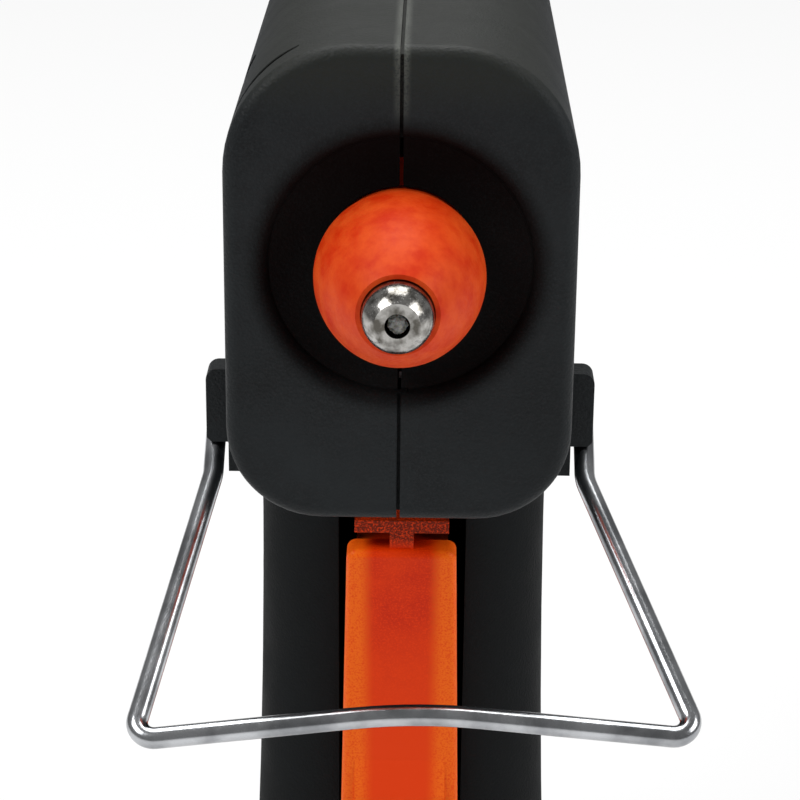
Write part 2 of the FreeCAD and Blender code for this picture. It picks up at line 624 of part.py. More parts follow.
def heating_chamber():
    """Cast chamber: tapered bore, threaded front, rear spigot and a heater pocket underneath."""
    front, back = at(CHAMBER_FRONT), at(CHAMBER_FRONT + CHAMBER_LENGTH)
    pocket = box(-POCKET_HALF_WIDTH, POCKET_HALF_WIDTH, front + POCKET_START,
                 front + POCKET_START + POCKET_LENGTH, -POCKET_DROP, 0)
    pocket = pocket.makeFillet(1.2, [e for e in pocket.Edges if abs(e.tangentAt(0).y) > 0.9
                                     and e.CenterOfMass.z < -POCKET_DROP + 0.1])
    body = fuse(along_y(CHAMBER_R, front, back), along_y(SPIGOT_R, back, back + SPIGOT_LENGTH), pocket)
    melt = revolve_about_barrel([(0, front + THREAD_LENGTH), (VALVE_BORE_R, front + THREAD_LENGTH),
                                 (CHAMBER_BORE_R, front + THREAD_LENGTH + 12.0),
                                 (CHAMBER_BORE_R, back + SPIGOT_LENGTH + EPS), (0, back + SPIGOT_LENGTH + EPS)])
    slot = box(-SLOT_HALF_WIDTH, SLOT_HALF_WIDTH, front + POCKET_START - EPS,
               front + POCKET_START + POCKET_LENGTH + EPS, -SLOT_BOTTOM, -SLOT_TOP)
    return body.cut([melt, along_y(THREAD_R + RUNNING, front - EPS, front + THREAD_LENGTH + 0.2), slot])


def insulation_film():
    front = at(CHAMBER_FRONT + POCKET_START)
    outer = box(-SLOT_HALF_WIDTH + FIT, SLOT_HALF_WIDTH - FIT, front - 0.5, front + POCKET_LENGTH + 0.5,
                -SLOT_BOTTOM + FIT, -SLOT_TOP - FIT)
    inset = FIT + FILM_THICKNESS
    inner = box(-SLOT_HALF_WIDTH + inset, SLOT_HALF_WIDTH - inset, front - 2 * EPS,
                front + POCKET_LENGTH + 2 * EPS, -SLOT_BOTTOM + inset, -SLOT_TOP - inset)
    return outer.cut(inner)


def heater_electrodes():
    """Two brass strips, above and below the heater, each with a tail for its lead."""
    front = at(CHAMBER_FRONT + POCKET_START)
    inset = FIT + FILM_THICKNESS + FIT / 2
    half = SLOT_HALF_WIDTH - inset - 0.3
    strips = []
    for z0, tail in ((-SLOT_TOP - inset - PLATE_THICKNESS, -3.2), (-SLOT_BOTTOM + inset, 3.2)):
        strip = box(-half, half, front + 0.5, front + POCKET_LENGTH - 0.5, z0, z0 + PLATE_THICKNESS)
        tab = box(tail - 1.4, tail + 1.4, front + 1.0, front + POCKET_LENGTH + 2.6, z0, z0 + PLATE_THICKNESS)
        strips.append(fuse(strip, tab))
    return Part.makeCompound(strips)


def ptc_heater():
    front = at(CHAMBER_FRONT + POCKET_START)
    inset = FIT + FILM_THICKNESS + FIT / 2 + PLATE_THICKNESS + FIT / 2
    half = SLOT_HALF_WIDTH - inset
    return box(-half, half, front + 1.0, front + POCKET_LENGTH - 1.5, -SLOT_BOTTOM + inset, -SLOT_TOP - inset)


def chamber_holder(station):
    """Heat-resistant spool round the chamber, trapped in a bulkhead."""
    half_groove = BULKHEAD / 2.0 + FIT
    y = at(station)
    return revolve_about_barrel([
        (CHAMBER_R + FIT, y - half_groove - HOLDER_FLANGE), (HOLDER_FLANGE_R, y - half_groove - HOLDER_FLANGE),
        (HOLDER_FLANGE_R, y - half_groove), (HOLDER_GROOVE_R, y - half_groove),
        (HOLDER_GROOVE_R, y + half_groove), (HOLDER_FLANGE_R, y + half_groove),
        (HOLDER_FLANGE_R, y + half_groove + HOLDER_FLANGE), (CHAMBER_R + FIT, y + half_groove + HOLDER_FLANGE)])


def guide_sleeve():
    """Silicone tube that leads the stick into the chamber, pushed over the rear spigot."""
    start = at(CHAMBER_FRONT + CHAMBER_LENGTH) + FIT
    end = start + GUIDE_SLEEVE_LENGTH
    spigot_end = at(CHAMBER_FRONT + CHAMBER_LENGTH + SPIGOT_LENGTH) + FIT
    tube = ring(GUIDE_SLEEVE_R, STICK_R + 0.4, start, end)
    return tube.cut(along_y(SPIGOT_R + FIT, start - EPS, spigot_end))


def guide_clamp():
    """Spring wire ring that pinches the guide sleeve on the spigot, with two ears."""
    y = at(CHAMBER_FRONT + CHAMBER_LENGTH) + FIT + 1.0
    inner = GUIDE_SLEEVE_R + FIT
    band = ring(inner + 1.0, inner, y, y + 2.6)
    gap = box(-0.8, 0.8, y - EPS, y + 2.6 + EPS, 0, 2 * GUIDE_SLEEVE_R)
    lugs = [box(x0, x0 + 0.9, y, y + 2.6, inner + 0.3, inner + 3.4) for x0 in (-1.7, 0.8)]
    return fuse(band.cut(gap), *lugs)


def carriage():
    """Feed carriage: a ring round the stick with side wings, a lower fork and an upper fork."""
    y0, y1 = at(CARRIAGE_START), at(CARRIAGE_START + CARRIAGE_LENGTH)
    drive_y = at(LEVER_PIVOT[0]) + TRIGGER_TRAVEL / 2 * LEVER_UP / LEVER_DOWN
    drive_z = LEVER_PIVOT[1] + LEVER_UP
    pieces = [along_y(CARRIAGE_R, y0, y1)]
    for x0, x1 in ((CARRIAGE_R - 2, WING_REACH), (-WING_REACH, 2 - CARRIAGE_R)):
        pieces.append(box(x0, x1, y0 + 1, y1 - 1, -WING_HALF_THICKNESS, WING_HALF_THICKNESS))
    for x0 in (EAR_GAP, -EAR_GAP - EAR_THICKNESS):
        pieces.append(box(x0, x0 + EAR_THICKNESS, drive_y - 3.4, drive_y + 3.4, drive_z - 3.2, -CARRIAGE_R + 2.4))
        pieces.append(box(x0, x0 + EAR_THICKNESS, y0 + 3.0, y1 - 2.0, CARRIAGE_R - 2.4, CAM_PIN_HEIGHT + 3.0))
    cam_y = (y0 + y1) / 2.0
    window = box(-EAR_GAP, EAR_GAP, y0 + 2.0, y1 - 2.0, 0, CAM_PIN_HEIGHT + 6.0)
    return fuse(*pieces).cut([
        along_y(CARRIAGE_BORE_R, y0 - EPS, y1 + EPS), window,
        along_x(PIN_R + RUNNING, -WING_REACH, WING_REACH, drive_y, drive_z),
        along_x(PIN_R + RUNNING, -WING_REACH, WING_REACH, cam_y, CAM_PIN_HEIGHT)])


def cross_pin(station_y, height, half_length):
    return along_x(PIN_R, -half_length, half_length, station_y, height)


def drive_pin():
    drive_y = at(LEVER_PIVOT[0]) + TRIGGER_TRAVEL / 2 * LEVER_UP / LEVER_DOWN
    return cross_pin(drive_y, LEVER_PIVOT[1] + LEVER_UP, EAR_GAP + EAR_THICKNESS)


def cam_y():
    return at(CARRIAGE_START + CARRIAGE_LENGTH / 2.0)


def grip_pin():
    return cross_pin(cam_y(), CAM_PIN_HEIGHT, EAR_GAP + EAR_THICKNESS)


def grip_cam():
    """Toothed cam that bites the stick as the carriage moves forward."""
    half = EAR_GAP - CLEAR
    pivot = Vector(0, cam_y(), CAM_PIN_HEIGHT)
    hub = along_x(PIN_R + 1.3, -half, half, pivot.y, pivot.z)
    sweep = 34.0
    lean = math.radians(CAM_FORWARD)
    teeth = 5
    points = [pivot + Vector(0, 1.6, -1.2)]
    for i in range(2 * teeth + 1):
        angle = lean + math.radians(sweep * (i / (2.0 * teeth) - 0.5))
        radius = CAM_REACH if i % 2 else CAM_REACH - 0.7
        points.append(pivot + Vector(0, -radius * math.sin(angle), -radius * math.cos(angle)))
    points.append(pivot + Vector(0, -2.4, 0.4))
    face = Part.Face(Part.makePolygon(points + points[:1]))
    tooth = face.extrude(Vector(2 * half, 0, 0))
    tooth.translate(Vector(-half, 0, 0))
    return fuse(hub, tooth).cut(along_x(PIN_R + RUNNING, -half - EPS, half + EPS, pivot.y, pivot.z))


def drive_lever():
    """Straight rocking lever with a hub and an open slot at each end."""
    lean = math.atan2(TRIGGER_TRAVEL / 2.0, LEVER_DOWN)
    y, z = at(LEVER_PIVOT[0]), LEVER_PIVOT[1]
    half = LEVER_HALF_THICKNESS
    up = LEVER_UP / math.cos(lean) + 2.4
    down = LEVER_DOWN / math.cos(lean) + 2.4
    bar = fuse(box(-half, half, y - LEVER_HALF_WIDTH, y + LEVER_HALF_WIDTH, z - down, z + up),
               along_x(PIN_R + 4.0, -half, half, y, z))
    slot = PIN_R + CLEAR
    upper = fuse(box(-half - EPS, half + EPS, y - slot, y + slot, z + LEVER_UP - 1.0, z + up + EPS),
                 along_x(slot, -half - EPS, half + EPS, y, z + LEVER_UP - 1.0))
    lower = fuse(box(-half - EPS, half + EPS, y - slot, y + slot, z - down - EPS, z - LEVER_DOWN + 1.0),
                 along_x(slot, -half - EPS, half + EPS, y, z - LEVER_DOWN + 1.0))
    lever = bar.cut([upper, lower, along_x(PIN_R + RUNNING, -half - EPS, half + EPS, y, z)])
    lever.rotate(Vector(0, y, z), X_AXIS, -math.degrees(lean))
    return lever


def lever_pin():
    return cross_pin(at(LEVER_PIVOT[0]), LEVER_PIVOT[1], 7.6)


def trigger():
    """Finger plate with a curved front, a neck and crossbar above it, and a hollow body behind."""
    top, base = -TRIGGER_TOP, -TRIGGER_BASE
    front = (Vector(0, at(TRIGGER_FRONT_TOP), top), Vector(0, at(TRIGGER_FRONT_MID), (top + base) / 2),
             Vector(0, at(TRIGGER_FRONT_BASE), base))
    shift = Vector(0, TRIGGER_PLATE, 0)
    plate_wire = Part.Wire([
        Part.Arc(*front).toShape(), Part.LineSegment(front[2], front[2] + shift).toShape(),
        Part.Arc(front[2] + shift, front[1] + shift, front[0] + shift).toShape(),
        Part.LineSegment(front[0] + shift, front[0]).toShape()])
    plate = Part.Face(plate_wire).extrude(Vector(2 * HALF, 0, 0))
    plate.translate(Vector(-HALF, 0, 0))
    face = rounded_outline((
        (Vector(-TRIGGER_HALF_TOP, 0, top), TRIGGER_CORNER_R), (Vector(TRIGGER_HALF_TOP, 0, top), TRIGGER_CORNER_R),
        (Vector(TRIGGER_HALF_BASE, 0, base), TRIGGER_CORNER_R), (Vector(-TRIGGER_HALF_BASE, 0, base), TRIGGER_CORNER_R)))
    prism = Part.Face(face)
    prism.translate(Vector(0, -BIG, 0))
    plate = plate.common(prism.extrude(Vector(0, 2 * BIG, 0)))
    front_edges = [e for e in plate.Edges if e.BoundBox.YMin < at(TRIGGER_FRONT_BASE) + 0.01
                   and not is_trigger_back(e)]
    plate = plate.makeFillet(0.9, front_edges)
    body_top, body_base = top - 3.0, base + 3.0
    body_front = at(TRIGGER_FRONT_MID) + 1.0
    body_back = at(LEVER_PIVOT[0]) - TRIGGER_TRAVEL / 2 - 7.5
    body = box(-TRIGGER_BODY_HALF, TRIGGER_BODY_HALF, body_front, body_back, body_base, body_top)
    hollow = box(-TRIGGER_BODY_HALF + 1.8, TRIGGER_BODY_HALF - 1.8, body_front + 4.6, body_back - 1.8,
                 body_base - EPS, body_top - 1.8)
    pin_y = at(LEVER_PIVOT[0]) - TRIGGER_TRAVEL / 2
    pin_z = LEVER_PIVOT[1] - LEVER_DOWN
    arms = [box(x0, x0 + EAR_THICKNESS, body_back - 3.0, pin_y + 3.2, pin_z - 5.0, body_top)
            for x0 in (EAR_GAP, -EAR_GAP - EAR_THICKNESS)]
    seat = along_y(SPRING_R - SPRING_WIRE_R - CLEAR, body_back - EPS, body_back + 3.0, z=-SPRING_DROP)
    neck_top = top + NECK_RISE + CROSSBAR_HEIGHT
    neck = box(-NECK_HALF_WIDTH, NECK_HALF_WIDTH, at(TRIGGER_FRONT_TOP) + 1.2, at(TRIGGER_FRONT_TOP) + 9.0,
               body_top - 1.0, neck_top)
    crossbar = box(-CROSSBAR_HALF_WIDTH, CROSSBAR_HALF_WIDTH, at(TRIGGER_FRONT_TOP) + 1.2,
                   at(TRIGGER_FRONT_TOP) + 9.0, neck_top - CROSSBAR_HEIGHT, neck_top)
    link = box(-TRIGGER_BODY_HALF, TRIGGER_BODY_HALF, at(TRIGGER_FRONT_TOP) + 3.0, body_front + 2.0,
               body_top - 6.0, body_top)
    whole = fuse(plate, body.cut(hollow), link, neck, crossbar, seat, *arms)
    return whole.cut(cross_pin_hole(pin_y, pin_z))


def is_trigger_back(edge):
    """True for the finger plate's edges behind its front surface."""
    bounds = edge.BoundBox
    middle = edge.CenterOfMass
    share = (middle.z + TRIGGER_TOP) / (TRIGGER_TOP - TRIGGER_BASE)
    front = at(TRIGGER_FRONT_TOP + share * (TRIGGER_FRONT_BASE - TRIGGER_FRONT_TOP))
    return middle.y > front + TRIGGER_PLATE * 0.45 or bounds.YLength > 3.9 and bounds.ZLength < 1.5


def cross_pin_hole(y, z):
    return along_x(PIN_R + RUNNING, -HALF, HALF, y, z)


def trigger_pin():
    return cross_pin(at(LEVER_PIVOT[0]) - TRIGGER_TRAVEL / 2, LEVER_PIVOT[1] - LEVER_DOWN, EAR_GAP + EAR_THICKNESS)


def return_spring():
    back = at(HANDLE_BACK_TOP - 4.5) - RUNNING
    front = at(LEVER_PIVOT[0]) - TRIGGER_TRAVEL / 2 - 7.5 + RUNNING
    return coil(SPRING_R, SPRING_WIRE_R, front, back, SPRING_TURNS, z=-SPRING_DROP)


def inlet_bush():
    """Stick inlet: a flanged bush trapped in the rear wall."""
    inner_wall = REAR_Y - INLET_LAND
    bush = fuse(along_y(INLET_FLANGE_R, REAR_Y + FIT / 2, 0), along_y(INLET_TUBE_R, -INLET_LENGTH, 0),
                ring(INLET_FLANGE_R, INLET_TUBE_R - EPS, inner_wall - FIT - 1.6, inner_wall - FIT))
    rim = [e for e in bush.Edges if e.BoundBox.YMin > -0.01 and e.BoundBox.XMax > INLET_FLANGE_R - 0.1]
    bush = bush.makeFillet(0.7, rim)
    return bush.cut(along_y(INLET_BORE_R, -INLET_LENGTH - EPS, EPS))


def cord_gland():
    """Rubber grommet in the handle's base, flush with the base."""
    base = -HANDLE_DROP + FIT
    foot = Vector(0, at(CORD_INLET), base)
    inner = Vector(0, at(CORD_INLET), -HANDLE_DROP + WALL + FIT)
    gland = fuse(rod(foot, Z_AXIS, GLAND_R, GLAND_LENGTH), rod(inner, Z_AXIS, GLAND_FLANGE_R, 1.6))
    return gland.cut(rod(foot - Z_AXIS * EPS, Z_AXIS, CORD_BORE_R, GLAND_LENGTH + 2 * EPS))


def cord_clamp():
    """Bar that pinches the cord against the right shell's two posts."""
    y = at(CORD_INLET)
    bar = box(1.4, 3.4 - FIT, y - CLAMP_HALF_LENGTH, y + CLAMP_HALF_LENGTH, -CLAMP_DROP - 2.6, -CLAMP_DROP + 2.6)
    bar = bar.makeFillet(1.2, [e for e in bar.Edges if abs(e.tangentAt(0).x) > 0.9])
    holes = [along_x(1.2, 0, 5, y + s, -CLAMP_DROP) for s in (-CLAMP_HALF_LENGTH + 2.4, CLAMP_HALF_LENGTH - 2.4)]
    return bar.cut(holes)


def clamp_screws():
    y = at(CORD_INLET)
    return Part.makeCompound([
        screw(1.4 - FIT / 2, 1, 0.9, 1.9, 1.2, 9.0, y + s, -CLAMP_DROP)
        for s in (-CLAMP_HALF_LENGTH + 2.4, CLAMP_HALF_LENGTH - 2.4)])


def terminal_block():
    """Two-way connector that joins the mains lead to the heater's leads."""
    y = at(CORD_INLET)
    body = box(7.0, 15.6, y - 8.0, y + 8.0, -BLOCK_DROP - 4.5, -BLOCK_DROP + 4.5)
    holes = [rod(Vector(11.3, y + s, -BLOCK_DROP - 5.5), Z_AXIS, 1.7, 11.0) for s in (-4.0, 4.0)]
    wells = [along_x(1.5, 5.0, 11.3, y + s, -BLOCK_DROP) for s in (-4.0, 4.0)]
    return body.cut(holes + wells)


def terminal_screws():
    y = at(CORD_INLET)
    return Part.makeCompound([screw(8.6, 1, 1.0, 1.4, 0.9, 1.6, y + s, -BLOCK_DROP) for s in (-4.0, 4.0)])


def wire_stand():
    """One bent wire: two turned-in ends, two legs that splay, and a bowed bar."""
    leg_x = HALF + PAD_PROUD + STAND_LEG_GAP + WIRE_R
    left, right = STAND_HALF_WIDTHS
    left_reach, right_reach = STAND_REACHES
    middle = Vector((right - left) / 2, 0, STAND_BOW - (left_reach + right_reach) / 2)
    corners = (
        (Vector(-HALF + STAND_TUCK, 0, 0), 0), (Vector(-leg_x, 0, 0), STAND_BEND_R),
        (Vector(-leg_x, 0, -STAND_SHANK), STAND_BEND_R * 3), (Vector(-left, 0, -left_reach), STAND_BEND_R),
        (middle, 60.0), (Vector(right, 0, -right_reach), STAND_BEND_R), (Vector(leg_x, 0, -STAND_SHANK), STAND_BEND_R * 3),
        (Vector(leg_x, 0, 0), STAND_BEND_R), (Vector(HALF - STAND_TUCK, 0, 0), 0))
    path = open_path(corners)
    section = Part.Wire(Part.makeCircle(WIRE_R, corners[0][0], X_AXIS))
    wire = path.makePipeShell([section], True, True)
    stand = Part.Solid(wire) if wire.ShapeType == "Shell" else wire
    stand.rotate(Vector(0, 0, 0), X_AXIS, -STAND_LEAN)
    stand.translate(Vector(0, at(STAND_PIVOT[0]), STAND_PIVOT[1]))
    return stand


def open_path(corners):
    """Open wire of straight runs joined by tangent arcs."""
    edges = []
    start = corners[0][0]
    for i in range(1, len(corners) - 1):
        point, radius = corners[i]
        before = (corners[i - 1][0] - point).normalize()
        after = (corners[i + 1][0] - point).normalize()
        half = before.getAngle(after) / 2.0
        setback = radius / math.tan(half)
        middle = point + (before + after).normalize() * (radius / math.sin(half) - radius)
        first = point + before * setback
        last = point + after * setback
        edges.append(Part.LineSegment(start, first).toShape())
        edges.append(Part.Arc(first, middle, last).toShape())
        start = last
    edges.append(Part.LineSegment(start, corners[-1][0]).toShape())
    return Part.Wire(edges)


def main():
    os.makedirs("parts", exist_ok=True)
    whole = housing()
    pieces = {
        "left_shell": shell_half(whole, -1),
        "right_shell": shell_half(whole, 1),
        "shell_screws": shell_screws(),
        "nozzle_sleeve": sleeve(),
        "nozzle": nozzle(),
        "valve_seat": valve_seat(),
        "check_ball": check_ball(),
        "valve_spring": valve_spring(),
        "heating_chamber": heating_chamber(),
        "insulation_film": insulation_film(),
        "heater_electrodes": heater_electrodes(),
        "ptc_heater": ptc_heater(),
        "front_chamber_holder": chamber_holder(FRONT_HOLDER),
        "rear_chamber_holder": chamber_holder(REAR_HOLDER),
        "guide_sleeve": guide_sleeve(),
        "guide_clamp": guide_clamp(),
        "feed_carriage": carriage(),
        "drive_pin": drive_pin(),
        "grip_cam": grip_cam(),
        "grip_pin": grip_pin(),
        "drive_lever": drive_lever(),
        "lever_pin": lever_pin(),
        "trigger": trigger(),
        "trigger_pin": trigger_pin(),
        "return_spring": return_spring(),
        "inlet_bush": inlet_bush(),
        "cord_gland": cord_gland(),
        "cord_clamp": cord_clamp(),
        "clamp_screws": clamp_screws(),
        "terminal_block": terminal_block(),
        "terminal_screws": terminal_screws(),
        "wire_stand": wire_stand(),
    }
    for name, shape in pieces.items():
        shape.exportStep("parts/" + name + ".step")
        print(name, len(shape.Solids), "solid", "valid" if shape.isValid() else "INVALID", round(shape.Volume, 1))


main()
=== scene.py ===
"""Looks of a hot-glue gun: finishes for its construction parts, soft pieces, light and camera."""

import logging
import math
from dataclasses import dataclass, field

import bpy
from mathutils import Matrix, Vector


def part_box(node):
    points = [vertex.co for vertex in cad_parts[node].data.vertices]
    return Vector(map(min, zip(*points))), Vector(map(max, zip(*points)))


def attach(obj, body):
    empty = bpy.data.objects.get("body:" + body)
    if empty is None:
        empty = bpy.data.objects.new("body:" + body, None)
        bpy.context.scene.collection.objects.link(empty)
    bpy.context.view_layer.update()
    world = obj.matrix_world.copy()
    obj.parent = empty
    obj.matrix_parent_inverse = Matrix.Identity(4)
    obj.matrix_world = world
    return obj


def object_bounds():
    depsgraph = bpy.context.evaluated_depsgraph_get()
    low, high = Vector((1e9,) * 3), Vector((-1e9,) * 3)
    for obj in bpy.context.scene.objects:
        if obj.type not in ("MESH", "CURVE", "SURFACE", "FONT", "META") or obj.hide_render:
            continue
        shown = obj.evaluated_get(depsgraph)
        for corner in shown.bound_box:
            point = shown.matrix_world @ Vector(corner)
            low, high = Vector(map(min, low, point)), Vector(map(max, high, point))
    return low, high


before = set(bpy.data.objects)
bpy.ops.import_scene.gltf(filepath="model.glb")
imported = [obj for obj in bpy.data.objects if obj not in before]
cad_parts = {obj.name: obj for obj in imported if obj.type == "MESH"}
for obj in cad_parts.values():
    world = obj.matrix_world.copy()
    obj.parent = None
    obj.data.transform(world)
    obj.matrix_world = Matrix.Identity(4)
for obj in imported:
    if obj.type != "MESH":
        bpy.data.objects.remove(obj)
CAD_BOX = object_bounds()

LOG = logging.getLogger("glue_gun")
MM = 0.001


def linear(hex_colour: str) -> tuple[float, float, float, float]:
    """Turn an sRGB hex colour into linear RGBA.

    Args:
        hex_colour: Six hex digits, with or without a leading hash.

    Returns:
        The colour as four linear floats.
    """
    digits = hex_colour.lstrip("#")
    parts = [int(digits[i:i + 2], 16) / 255.0 for i in (0, 2, 4)]
    channels = [c / 12.92 if c <= 0.04045 else ((c + 0.055) / 1.055) ** 2.4 for c in parts]
    return (channels[0], channels[1], channels[2], 1.0)


def add_node(tree: bpy.types.NodeTree, kind: str, settings: dict[str, object] | None = None,
             links: dict[str | int, bpy.types.NodeSocket] | None = None, **props: object) -> bpy.types.Node:
    """Add a shader node with its settings and links.

    Args:
        tree: The node tree that receives the node.
        kind: The node's type name, without the ShaderNode prefix.
        settings: Values for its input sockets, by name or index.
        links: Output sockets that feed its input sockets, by name or index.
        **props: Properties of the node itself.

    Returns:
        The new node.
    """
    node = tree.nodes.new("ShaderNode" + kind)
    for name, value in props.items():
        setattr(node, name, value)
    for socket, value in (settings or {}).items():
        node.inputs[socket].default_value = value
    for socket, source in (links or {}).items():
        tree.links.new(source, node.inputs[socket])
    return node


def blank_material(name: str) -> tuple[bpy.types.Material, bpy.types.NodeTree, bpy.types.NodeSocket]:
    """Make an empty node material.

    Args:
        name: The material's name.

    Returns:
        The material, its tree and an Object coordinate socket.
    """
    material = bpy.data.materials.new(name)
    material.use_nodes = True
    tree = material.node_tree
    tree.nodes.clear()
    coords = add_node(tree, "TexCoord")
    return material, tree, coords.outputs["Object"]


def ramp(tree: bpy.types.NodeTree, source: bpy.types.NodeSocket,
         stops: tuple[tuple[float, tuple[float, float, float, float]], ...]) -> bpy.types.NodeSocket:
    """Map a value to colours.

    Args:
        tree: The node tree.
        source: The socket with the value.
        stops: Position and colour of each stop.

    Returns:
        The colour socket.
    """
    node = add_node(tree, "ValToRGB", links={0: source})
    elements = node.color_ramp.elements
    while len(elements) < len(stops):
        elements.new(0.5)
    for element, (place, colour) in zip(elements, stops):
        element.position = place
        element.color = colour
    return node.outputs[0]


def smooth_mask(tree: bpy.types.NodeTree, value: bpy.types.NodeSocket, start: float,
                end: float) -> bpy.types.NodeSocket:
    """Mask that turns smoothly from 0 to 1 between two values.

    Args:
        tree: The node tree.
        value: The socket to mask by.
        start: Where the mask is 0.
        end: Where the mask is 1.

    Returns:
        The mask socket.
    """
    return add_node(tree, "MapRange", {"From Min": start, "From Max": end}, {"Value": value},
                    interpolation_type="SMOOTHSTEP").outputs[0]


def lay_over(tree: bpy.types.NodeTree, base: bpy.types.NodeSocket, mask: bpy.types.NodeSocket,
             colour: str) -> bpy.types.NodeSocket:
    """Lay a colour over another by a mask.

    Args:
        tree: The node tree.
        base: The colour underneath.
        mask: Where the new colour shows.
        colour: The new colour, as hex.

    Returns:
        The mixed colour socket.
    """
    return add_node(tree, "MixRGB", {"Color2": linear(colour)}, {"Fac": mask, "Color1": base}).outputs[0]


def math_node(tree: bpy.types.NodeTree, operation: str, first: bpy.types.NodeSocket,
              second: bpy.types.NodeSocket | float = 0.0) -> bpy.types.NodeSocket:
    """Work out one operation on a socket and a socket or number.

    Args:
        tree: The node tree.
        operation: The Math node's operation.
        first: The first operand.
        second: The second operand.

    Returns:
        The result socket.
    """
    if isinstance(second, float):
        return add_node(tree, "Math", {1: second}, {0: first}, operation=operation).outputs[0]
    return add_node(tree, "Math", links={0: first, 1: second}, operation=operation).outputs[0]


def grey(value: float) -> tuple[float, float, float, float]:
    """Give a linear grey of one value."""
    return (value, value, value, 1.0)


@dataclass(frozen=True)
class MouldedPlastic:
    """Injection-moulded thermoplastic with a spark-eroded grain: fine pits that break up the shine."""

    name: str
    colour: str
    second_tone: str
    grain: float = 0.34 * MM          # pit spacing; a little coarser than the real 0.2 mm so that it shows
    grain_depth: float = 0.09 * MM
    roughness: tuple[float, float] = (0.46, 0.62)
    mottle: float = 9.0 * MM          # handling marks and faint flow marks
    specular: float = 0.5

    def build(self) -> bpy.types.Material:
        """Build the material.

        Returns:
            The finished material.
        """
        material, tree, place = blank_material(self.name)
        pits = add_node(tree, "TexVoronoi", {"Scale": 1.0 / self.grain, "Randomness": 1.0}, {"Vector": place},
                        feature="SMOOTH_F1")
        fine = add_node(tree, "TexNoise", {"Scale": 1.6 / self.grain, "Detail": 3.0, "Roughness": 0.6},
                        {"Vector": place})
        marks = add_node(tree, "TexNoise", {"Scale": 1.0 / self.mottle, "Detail": 4.0, "Roughness": 0.62},
                         {"Vector": place})
        grain = math_node(tree, "ADD", pits.outputs["Distance"], fine.outputs[0])
        low, high = self.roughness
        rough = add_node(tree, "MapRange", {"From Min": 0.3, "From Max": 0.7, "To Min": low, "To Max": high},
                         {"Value": marks.outputs[0]})
        base = self.tint(tree, place, marks.outputs[0])
        speckled = ramp(tree, fine.outputs[0], ((0.47, grey(0.0)), (0.66, grey(0.8))))
        speck = add_node(tree, "MixRGB", {"Color2": linear(self.second_tone)}, {"Color1": base, "Fac": speckled})
        bump = add_node(tree, "Bump", {"Strength": 0.6, "Distance": self.grain_depth},
                        {"Height": grain})
        shader = add_node(tree, "BsdfPrincipled", {"IOR": 1.5, "Specular IOR Level": self.specular},
                          {"Base Color": speck.outputs[0], "Roughness": rough.outputs[0],
                           "Normal": bump.outputs[0]})
        add_node(tree, "OutputMaterial", links={"Surface": self.lay_shade(tree, place, shader.outputs[0])})
        return material

    def lay_shade(self, tree: bpy.types.NodeTree, place: bpy.types.NodeSocket,
             shader: bpy.types.NodeSocket) -> bpy.types.NodeSocket:
        """Lay painted shade over the finished shader; plain plastic has none.

        Args:
            tree: The node tree.
            place: Object coordinates.
            shader: The clean plastic.

        Returns:
            The shader socket, unchanged.
        """
        return shader

    def tint(self, tree: bpy.types.NodeTree, place: bpy.types.NodeSocket,
             marks: bpy.types.NodeSocket) -> bpy.types.NodeSocket:
        """Colour before the specks.

        Args:
            tree: The node tree.
            place: Object coordinates.
            marks: The slow noise of the handling marks.

        Returns:
            The colour socket.
        """
        return ramp(tree, marks, ((0.3, linear(self.colour)), (0.78, linear(self.second_tone))))


